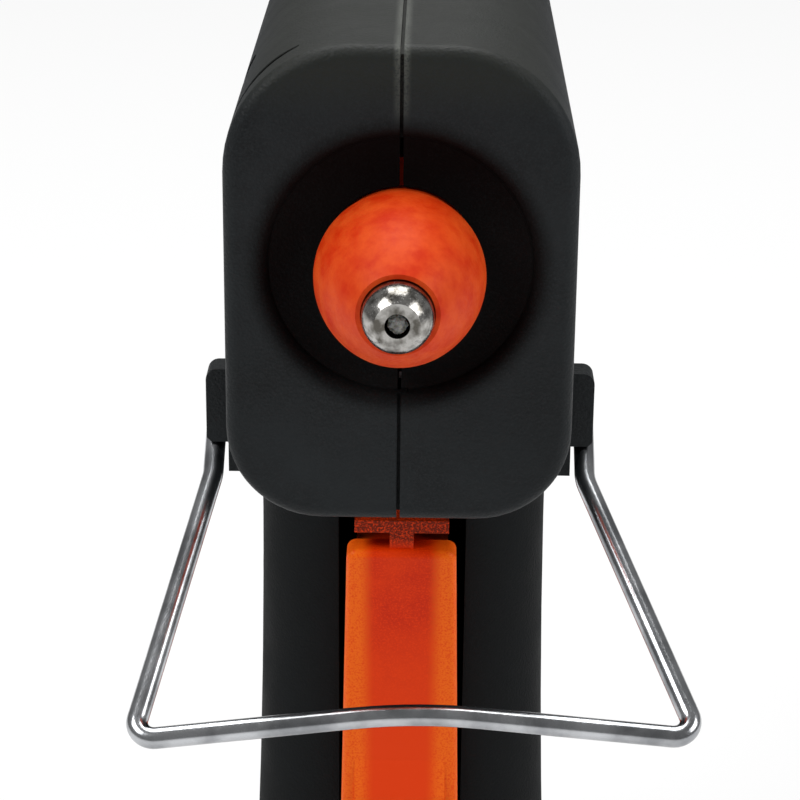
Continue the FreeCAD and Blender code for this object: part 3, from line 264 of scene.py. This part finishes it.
@dataclass(frozen=True)
class HousingPlastic(MouldedPlastic):
    """Black housing plastic with painted light: shade in the dish, the corner slot and on the grip, a paler
    top and a highlight band along the top's seam.
    """

    # painted shade: the recessed dish drawn near black
    dish: str = "#020202"
    # painted highlight on the rounded edges beside the seam
    seam_highlight: str = "#565853"
    # painted light: the top drawn paler than the face
    top_light: str = "#1d1f1b"
    dish_fade: tuple[float, float] = (17.2 * MM, 14.2 * MM)       # radius where it starts and is full
    dish_shade_share: float = 0.72
    top_light_rise: tuple[float, float] = (16.0 * MM, 22.0 * MM)       # height where it starts and is full
    seam_band: tuple[float, float] = (1.1 * MM, 0.35 * MM)        # painted highlight on the edges, from the seam plane
    seam_highlight_rise: tuple[float, float] = (14.0 * MM, 22.0 * MM)
    seam_highlight_gain: float = 1.4
    corner: tuple[float, float] = (-5.0 * MM, 10.2 * MM)    # axis of the rounded upper left edge, X and Z
    corner_radius: float = 14.0 * MM
    slot_depths: tuple[float, float] = (0.02 * MM, 0.18 * MM)   # below the skin where the painted shade starts and is full
    slot_rise: tuple[float, float] = (0.0, 2.0 * MM)
    grip: tuple[float, float] = (-30.0 * MM, -42.0 * MM)    # painted shade below this height
    grip_shade_share: float = 0.62
    # colour of the painted shade over the dish, the slot and the grip
    shade_colour: str = "#0b0b0b"
    slot_back: tuple[float, float] = (-133.2 * MM, -127.4 * MM)   # from and to along the barrel

    def tint(self, tree: bpy.types.NodeTree, place: bpy.types.NodeSocket,
             marks: bpy.types.NodeSocket) -> bpy.types.NodeSocket:
        """Colour with painted shade in the dish, a painted paler top and painted highlights along the seam
        edges.

        Args:
            tree: The node tree.
            place: Object coordinates.
            marks: The slow noise of the handling marks.

        Returns:
            The colour socket.
        """
        axes = add_node(tree, "SeparateXYZ", links={0: place})
        across, height = axes.outputs[0], axes.outputs[2]
        base = super().tint(tree, place, marks)
        # painted light: the top paler above this height
        top = lay_over(tree, base, smooth_mask(tree, height, *self.top_light_rise), self.top_light)
        # painted highlight along the seam edges, patchy by the marks
        near_seam = smooth_mask(tree, math_node(tree, "ABSOLUTE", across), *self.seam_band)
        high_up = smooth_mask(tree, height, *self.seam_highlight_rise)
        patchy = math_node(tree, "MULTIPLY", marks, self.seam_highlight_gain)
        edge = math_node(tree, "MULTIPLY", math_node(tree, "MULTIPLY", near_seam, high_up), patchy)
        seam_highlight = lay_over(tree, top, edge, self.seam_highlight)
        # painted shade: the dish drawn near black
        return lay_over(tree, seam_highlight, self.dish_mask(tree, axes), self.dish)

    def dish_mask(self, tree: bpy.types.NodeTree, axes: bpy.types.Node) -> bpy.types.NodeSocket:
        """Mask of the dish round the barrel axis, where the painted shade lies.

        Args:
            tree: The node tree.
            axes: The node that splits the coordinates.

        Returns:
            The mask socket.
        """
        flat = add_node(tree, "CombineXYZ", links={0: axes.outputs[0], 2: axes.outputs[2]})
        radius = add_node(tree, "VectorMath", links={0: flat.outputs[0]}, operation="LENGTH")
        return smooth_mask(tree, radius.outputs["Value"], *self.dish_fade)

    def lay_shade(self, tree: bpy.types.NodeTree, place: bpy.types.NodeSocket,
             shader: bpy.types.NodeSocket) -> bpy.types.NodeSocket:
        """Mix painted shade over the dish, the corner slot and the grip, which also takes their shine away.

        Args:
            tree: The node tree.
            place: Object coordinates.
            shader: The clean plastic.

        Returns:
            The shader socket with the painted shade.
        """
        axes = add_node(tree, "SeparateXYZ", links={0: place})
        # painted shade over the dish, the slot and the grip
        dish_shaded = math_node(tree, "MULTIPLY", self.dish_mask(tree, axes), self.dish_shade_share)
        grip = math_node(tree, "MULTIPLY", smooth_mask(tree, axes.outputs[2], *self.grip), self.grip_shade_share)
        share = math_node(tree, "MAXIMUM", dish_shaded, self.slot_shade(tree, axes))
        share = math_node(tree, "MAXIMUM", share, grip)
        shade_colour = add_node(tree, "BsdfDiffuse", {"Color": linear(self.shade_colour)})
        mixed = add_node(tree, "MixShader", links={0: share, 1: shader, 2: shade_colour.outputs[0]})
        return mixed.outputs[0]

    def slot_shade(self, tree: bpy.types.NodeTree, axes: bpy.types.Node) -> bpy.types.NodeSocket:
        """Mask of the painted shade in the slot on the upper left edge, below the rounded skin.

        Args:
            tree: The node tree.
            axes: The node that splits the coordinates.

        Returns:
            The mask socket.
        """
        side = math_node(tree, "MINIMUM", math_node(tree, "SUBTRACT", axes.outputs[0], self.corner[0]), 0.0)
        rise = math_node(tree, "MAXIMUM", math_node(tree, "SUBTRACT", axes.outputs[2], self.corner[1]), 0.0)
        arm = add_node(tree, "CombineXYZ", links={0: side, 2: rise})
        radius = add_node(tree, "VectorMath", links={0: arm.outputs[0]}, operation="LENGTH")
        start, full = (self.corner_radius - depth for depth in self.slot_depths)
        found = smooth_mask(tree, radius.outputs["Value"], start, full)
        front, back = self.slot_back
        limits = (math_node(tree, "GREATER_THAN", axes.outputs[1], front),
                  math_node(tree, "LESS_THAN", axes.outputs[1], back),
                  math_node(tree, "LESS_THAN", side, 0.0),
                  smooth_mask(tree, rise, *self.slot_rise))
        for limit in limits:
            found = math_node(tree, "MULTIPLY", found, limit)
        return found


@dataclass(frozen=True)
class TriggerPlastic(MouldedPlastic):
    """Orange plastic with painted shade at its neck and crossbar, painted light down its plate and painted
    highlights on its edges.
    """

    # painted shade where the barrel shades the neck and crossbar
    neck_shade: str = "#5e1602"
    # painted highlight on the rounded side edges
    edge: str = "#e8620c"
    neck: tuple[float, float] = (-51.2 * MM, -49.4 * MM)    # no painted shade below the first, full painted shade above the second
    # painted light: the plate paler from the first height down to the second
    plate_light: tuple[float, float] = (-52.0 * MM, -84.0 * MM)
    half: tuple[float, float] = (3.4 * MM, 5.6 * MM)

    def tint(self, tree: bpy.types.NodeTree, place: bpy.types.NodeSocket,
             marks: bpy.types.NodeSocket) -> bpy.types.NodeSocket:
        """Colour with the painted shade at the neck, the painted light down the plate and the painted
        highlights on the edges.

        Args:
            tree: The node tree.
            place: Object coordinates.
            marks: The slow noise of the handling marks.

        Returns:
            The colour socket.
        """
        axes = add_node(tree, "SeparateXYZ", links={0: place})
        across = math_node(tree, "ABSOLUTE", axes.outputs[0])
        height = axes.outputs[2]
        # painted highlights on the side edges
        edge_highlight_mask = smooth_mask(tree, across, *self.half)
        # painted light: the paler tone laid lower on the plate
        low = smooth_mask(tree, height, *self.plate_light)
        base = lay_over(tree, super().tint(tree, place, marks), low, self.second_tone)
        base = lay_over(tree, base, edge_highlight_mask, self.edge)
        # painted shade at the neck and crossbar
        return lay_over(tree, base, smooth_mask(tree, height, *self.neck), self.neck_shade)


@dataclass(frozen=True)
class SiliconeRubber:
    """Compression-moulded silicone: satin, slightly translucent, with dusty mottling."""

    name: str
    colour: str
    deep: str
    scatter: float = 0.12
    specular: float = 0.5
    roughness: tuple[float, float] = (0.42, 0.6)
    mottle: float = 2.6 * MM

    def build(self) -> bpy.types.Material:
        """Build the material.

        Returns:
            The finished material.
        """
        material, tree, place = blank_material(self.name)
        cloud = add_node(tree, "TexNoise", {"Scale": 1.0 / self.mottle, "Detail": 5.0, "Roughness": 0.6},
                         {"Vector": place})
        dust = add_node(tree, "TexNoise", {"Scale": 1.0 / (0.35 * MM), "Detail": 2.0}, {"Vector": place})
        tint = ramp(tree, cloud.outputs[0], ((0.34, linear(self.deep)), (0.62, linear(self.colour))))
        low, high = self.roughness
        rough = add_node(tree, "MapRange", {"From Min": 0.3, "From Max": 0.7, "To Min": low, "To Max": high},
                         {"Value": dust.outputs[0]})
        bump = add_node(tree, "Bump", {"Strength": 0.35, "Distance": 0.03 * MM}, {"Height": dust.outputs[0]})
        shader = add_node(tree, "BsdfPrincipled",
                          {"IOR": 1.41, "Specular IOR Level": self.specular,
                           "Subsurface Weight": self.scatter,
                           "Subsurface Radius": (1.0, 0.35, 0.12), "Subsurface Scale": 0.6 * MM},
                          {"Base Color": tint, "Roughness": rough.outputs[0], "Normal": bump.outputs[0]})
        add_node(tree, "OutputMaterial", links={"Surface": shader.outputs[0]})
        return material


@dataclass(frozen=True)
class Metal:
    """Metal with drawn, ground or cast marks."""

    name: str
    colour: str
    shade: str
    roughness: tuple[float, float] = (0.14, 0.28)
    stretch: tuple[float, float, float] = (1.0, 1.0, 1.0)   # marks run along the smallest of the three
    mark: float = 0.25 * MM
    depth: float = 0.006 * MM
    stain: float = 5.0 * MM

    def build(self) -> bpy.types.Material:
        """Build the material.

        Returns:
            The finished material.
        """
        material, tree, place = blank_material(self.name)
        stretched = add_node(tree, "Mapping", {"Scale": self.stretch}, {"Vector": place})
        marks = add_node(tree, "TexNoise", {"Scale": 1.0 / self.mark, "Detail": 3.0, "Roughness": 0.65},
                         {"Vector": stretched.outputs[0]})
        stain = add_node(tree, "TexNoise", {"Scale": 1.0 / self.stain, "Detail": 4.0}, {"Vector": place})
        tint = ramp(tree, stain.outputs[0], ((0.36, linear(self.shade)), (0.6, linear(self.colour))))
        low, high = self.roughness
        rough = add_node(tree, "MapRange", {"From Min": 0.3, "From Max": 0.7, "To Min": low, "To Max": high},
                         {"Value": marks.outputs[0]})
        bump = add_node(tree, "Bump", {"Strength": 0.5, "Distance": self.depth}, {"Height": marks.outputs[0]})
        shader = add_node(tree, "BsdfPrincipled", {"Metallic": 1.0},
                          {"Base Color": tint, "Roughness": rough.outputs[0], "Normal": bump.outputs[0]})
        add_node(tree, "OutputMaterial", links={"Surface": shader.outputs[0]})
        return material


class Finishes:
    """Every finish on the gun, built once."""

    def __init__(self) -> None:
        """Build the materials."""
        self.housing = HousingPlastic("grained_black_nylon", "#0b0e10", "#1c2022", specular=0.2).build()
        self.bush = MouldedPlastic("smooth_black_nylon", "#141415", "#202122", grain=0.5 * MM,
                                   roughness=(0.34, 0.46)).build()
        self.trigger = TriggerPlastic("orange_abs", "#b81c00", "#dc3a00", grain=0.4 * MM,
                                      grain_depth=0.012 * MM, roughness=(0.4, 0.52), specular=0.12).build()
        self.carriage = MouldedPlastic("natural_nylon", "#d9d5c6", "#c4bfae", grain=0.6 * MM).build()
        self.phenolic = MouldedPlastic("brown_phenolic", "#6b4526", "#4f3019", grain=0.7 * MM).build()
        self.block = MouldedPlastic("white_polyamide", "#dcdad2", "#c9c6bd", grain=0.6 * MM).build()
        self.film = MouldedPlastic("amber_polyimide", "#b4701c", "#8f5210", grain=1.2 * MM,
                                   roughness=(0.2, 0.32)).build()
        self.heater = MouldedPlastic("fired_ceramic", "#4a423b", "#6a6058", grain=0.3 * MM,
                                     roughness=(0.6, 0.8)).build()
        self.sleeve = SiliconeRubber("orange_silicone", "#d14812", "#c22b00", specular=0.2).build()
        self.guide = SiliconeRubber("natural_silicone", "#cfcdc4", "#b3b0a5", scatter=0.25).build()
        self.glue = SiliconeRubber("cooled_glue", "#8d8d8a", "#55554f", scatter=0.3, roughness=(0.16, 0.4),
                                   mottle=0.6 * MM).build()
        self.gland = SiliconeRubber("black_rubber", "#1b1b1c", "#121213", scatter=0.0).build()
        self.wire = Metal("bright_drawn_steel", "#bfc1c4", "#8f9194", roughness=(0.14, 0.26),
                          mark=0.18 * MM).build()
        self.nozzle = Metal("turned_steel", "#b4b2ae", "#5f5c56", roughness=(0.08, 0.3), mark=0.22 * MM,
                            depth=0.02 * MM, stain=1.3 * MM).build()
        self.pins = Metal("plain_steel", "#a5a6a8", "#86878a", roughness=(0.22, 0.36)).build()
        self.lever = Metal("stamped_steel", "#8f9093", "#6f7073", roughness=(0.3, 0.46),
                           mark=0.5 * MM).build()
        self.brass = Metal("rolled_brass", "#c9a253", "#a57f38", roughness=(0.2, 0.34)).build()
        self.cast = Metal("cast_aluminium", "#b9babc", "#97989a", roughness=(0.4, 0.6), mark=0.7 * MM,
                          depth=0.05 * MM).build()


def dress(node: str, material: bpy.types.Material) -> None:
    """Give a construction node its material.

    Args:
        node: The node's name.
        material: The finish.
    """
    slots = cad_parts[node].material_slots
    for slot in slots:
        slot.material = material
    LOG.info("dressed %s in %s", node, material.name)


@dataclass
class Housing:
    """The two shells, their screws, the inlet bush and the cord gland."""

    finishes: Finishes

    def dress(self) -> None:
        """Give the shells and what is fixed in them their finishes."""
        for node in ("left_shell", "right_shell"):
            dress(node, self.finishes.housing)
        dress("shell_screws", self.finishes.pins)
        dress("inlet_bush", self.finishes.bush)
        dress("cord_gland", self.finishes.gland)
        dress("cord_clamp", self.finishes.carriage)
        dress("clamp_screws", self.finishes.pins)
        dress("terminal_block", self.finishes.block)
        dress("terminal_screws", self.finishes.brass)


@dataclass
class NozzleEnd:
    """The nozzle with its valve, and the silicone sleeve over it."""

    finishes: Finishes

    def dress(self) -> None:
        """Give the nozzle's pieces their finishes."""
        dress("nozzle", self.finishes.nozzle)
        dress("nozzle_sleeve", self.finishes.sleeve)
        dress("valve_seat", self.finishes.brass)
        dress("check_ball", self.finishes.pins)
        dress("valve_spring", self.finishes.pins)


@dataclass
class GlueResidue:
    """A cooled lump of glue in the nozzle's mouth."""

    finishes: Finishes
    radius: float = 1.22 * MM
    set_back: float = 0.75 * MM       # its middle behind the nozzle's flat end
    flatness: float = 0.5             # thickness against width
    lumps: float = 0.5 * MM
    shrink: float = 0.45 * MM         # how deep the hollows between the lumps go
    detail: int = 5

    def build(self) -> None:
        """Model the lump and give it its finish."""
        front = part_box("nozzle")[0][1]
        bpy.ops.object.select_all(action="DESELECT")
        bpy.ops.mesh.primitive_ico_sphere_add(subdivisions=self.detail, radius=self.radius,
                                              location=(0.0, front + self.set_back, 0.0))
        lump = bpy.context.object
        lump.name = "glue_residue"
        lump.scale = (1.0, self.flatness, 1.0)
        bpy.ops.object.transform_apply(location=True, rotation=True, scale=True)
        wobble = bpy.data.textures.new("lumps", "CLOUDS")
        wobble.noise_scale = self.lumps
        swell = lump.modifiers.new("lumps", "DISPLACE")
        swell.texture = wobble
        swell.texture_coords = "GLOBAL"
        swell.mid_level = 1.0
        swell.strength = self.shrink
        bpy.ops.object.modifier_apply(modifier="lumps")
        bpy.ops.object.shade_smooth()
        lump.data.materials.append(self.finishes.glue)
        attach(lump, "gun")


@dataclass
class HeaterPack:
    """The heating chamber with its heater, holders and guide sleeve."""

    finishes: Finishes

    def dress(self) -> None:
        """Give the heater's pieces their finishes."""
        dress("heating_chamber", self.finishes.cast)
        dress("insulation_film", self.finishes.film)
        dress("heater_electrodes", self.finishes.brass)
        dress("ptc_heater", self.finishes.heater)
        dress("front_chamber_holder", self.finishes.phenolic)
        dress("rear_chamber_holder", self.finishes.phenolic)
        dress("guide_sleeve", self.finishes.guide)
        dress("guide_clamp", self.finishes.pins)


@dataclass
class FeedDrive:
    """Trigger, lever, carriage and their pins and spring."""

    finishes: Finishes

    def dress(self) -> None:
        """Give the moving pieces their finishes."""
        dress("trigger", self.finishes.trigger)
        dress("feed_carriage", self.finishes.carriage)
        dress("drive_lever", self.finishes.lever)
        dress("grip_cam", self.finishes.lever)
        for node in ("drive_pin", "grip_pin", "lever_pin", "trigger_pin", "return_spring"):
            dress(node, self.finishes.pins)


@dataclass
class WireStand:
    """The bent wire stand."""

    finishes: Finishes

    def dress(self) -> None:
        """Give the wire its finish."""
        dress("wire_stand", self.finishes.wire)


@dataclass
class Lamp:
    """A soft square lamp that faces a point."""

    name: str
    place: tuple[float, float, float]
    size: float
    power: float
    target: tuple[float, float, float] = (0.0, -0.12, -0.02)

    def add(self) -> None:
        """Add the lamp to the scene."""
        data = bpy.data.lights.new(self.name, "AREA")
        data.shape = "SQUARE"
        data.size = self.size
        data.energy = self.power
        lamp = bpy.data.objects.new(self.name, data)
        lamp.location = self.place
        aim = Vector(self.target) - Vector(self.place)
        lamp.rotation_euler = aim.to_track_quat("-Z", "Y").to_euler()
        bpy.context.scene.collection.objects.link(lamp)


@dataclass
class Studio:
    """Floor, world, lamps and camera."""

    lens: float = 113.1               # millimetres on a 36 mm sensor
    tilt: float = 20.716              # degrees the camera looks down
    turn: float = -0.696              # degrees it looks towards the right
    roll: float = -0.564
    distance: float = 0.26849         # camera to the front face, along the view
    face_offset: tuple[float, float] = (0.00002, 0.0139)   # face centre from the view axis, right and up
    lamps: tuple[Lamp, ...] = field(default_factory=lambda: (
        Lamp("key", (-0.6, -0.45, 0.7), 0.5, 6.5),
        Lamp("fill", (0.7, -0.35, 0.4), 0.45, 3.6),
        Lamp("top", (0.0, 0.3, 0.9), 0.7, 8.5),
    ))

    def add_floor(self) -> None:
        """Add a pale floor under the handle's base."""
        low = CAD_BOX[0]
        bpy.ops.mesh.primitive_plane_add(size=12.0, location=(0, 0, low[2]))
        floor = bpy.context.object
        floor.name = "floor"
        material, tree, _ = blank_material("pale_floor")
        light = add_node(tree, "LightPath")
        matt = add_node(tree, "BsdfDiffuse", {"Color": grey(0.8)})
        glow = add_node(tree, "Emission", {"Color": grey(1.0), "Strength": 1.0})
        share = add_node(tree, "Math", {1: 0.8}, {0: light.outputs["Is Camera Ray"]}, operation="MULTIPLY")
        mixed = add_node(tree, "MixShader",
                         links={0: share.outputs[0], 1: matt.outputs[0], 2: glow.outputs[0]})
        add_node(tree, "OutputMaterial", links={"Surface": mixed.outputs[0]})
        floor.data.materials.append(material)

    def light_world(self) -> None:
        """Set a soft world that shows white behind the object."""
        world = bpy.data.worlds.new("studio")
        bpy.context.scene.world = world
        world.use_nodes = True
        tree = world.node_tree
        tree.nodes.clear()
        light = add_node(tree, "LightPath")
        seen = add_node(tree, "Math", links={0: light.outputs["Is Camera Ray"],
                                             1: light.outputs["Is Transmission Ray"]}, operation="MAXIMUM")
        strength = add_node(tree, "MapRange", {"To Min": 0.24, "To Max": 1.0}, {"Value": seen.outputs[0]})
        sky = add_node(tree, "Background", {"Color": grey(1.0)}, {"Strength": strength.outputs[0]})
        add_node(tree, "OutputWorld", links={"Surface": sky.outputs[0]})

    def add_camera(self) -> None:
        """Add the camera in front of and above the nozzle."""
        tilt, turn, roll = (math.radians(a) for a in (self.tilt, self.turn, self.roll))
        right = Vector((math.cos(turn), -math.sin(turn), 0.0))
        ahead = Vector((math.sin(turn) * math.cos(tilt), math.cos(turn) * math.cos(tilt), -math.sin(tilt)))
        above = right.cross(ahead)
        across = right * math.cos(roll) - above * math.sin(roll)
        upward = right * math.sin(roll) + above * math.cos(roll)
        shell_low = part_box("left_shell")[0]
        face = Vector((0.0, shell_low[1], 0.0))
        place = face - across * self.face_offset[0] - upward * self.face_offset[1] - ahead * self.distance
        data = bpy.data.cameras.new("camera")
        data.lens = self.lens
        data.sensor_width = 36.0
        data.clip_start = 0.01
        camera = bpy.data.objects.new("camera", data)
        basis = Matrix((across, upward, -ahead)).transposed()
        camera.matrix_world = Matrix.Translation(place) @ basis.to_4x4()
        bpy.context.scene.collection.objects.link(camera)
        bpy.context.scene.camera = camera

    def build(self) -> None:
        """Add everything around the object."""
        bpy.context.scene.view_settings.view_transform = "Standard"
        self.add_camera()
        self.add_floor()
        self.light_world()
        for lamp in self.lamps:
            lamp.add()


def main() -> None:
    """Build every sub-assembly in order."""
    logging.basicConfig(level=logging.INFO, format="%(name)s: %(message)s")
    bpy.ops.object.select_all(action="DESELECT")
    finishes = Finishes()
    Studio().build()
    for assembly in (Housing(finishes), NozzleEnd(finishes), HeaterPack(finishes), FeedDrive(finishes),
                     WireStand(finishes)):
        assembly.dress()
    GlueResidue(finishes).build()


if __name__ == "__main__":
    main()
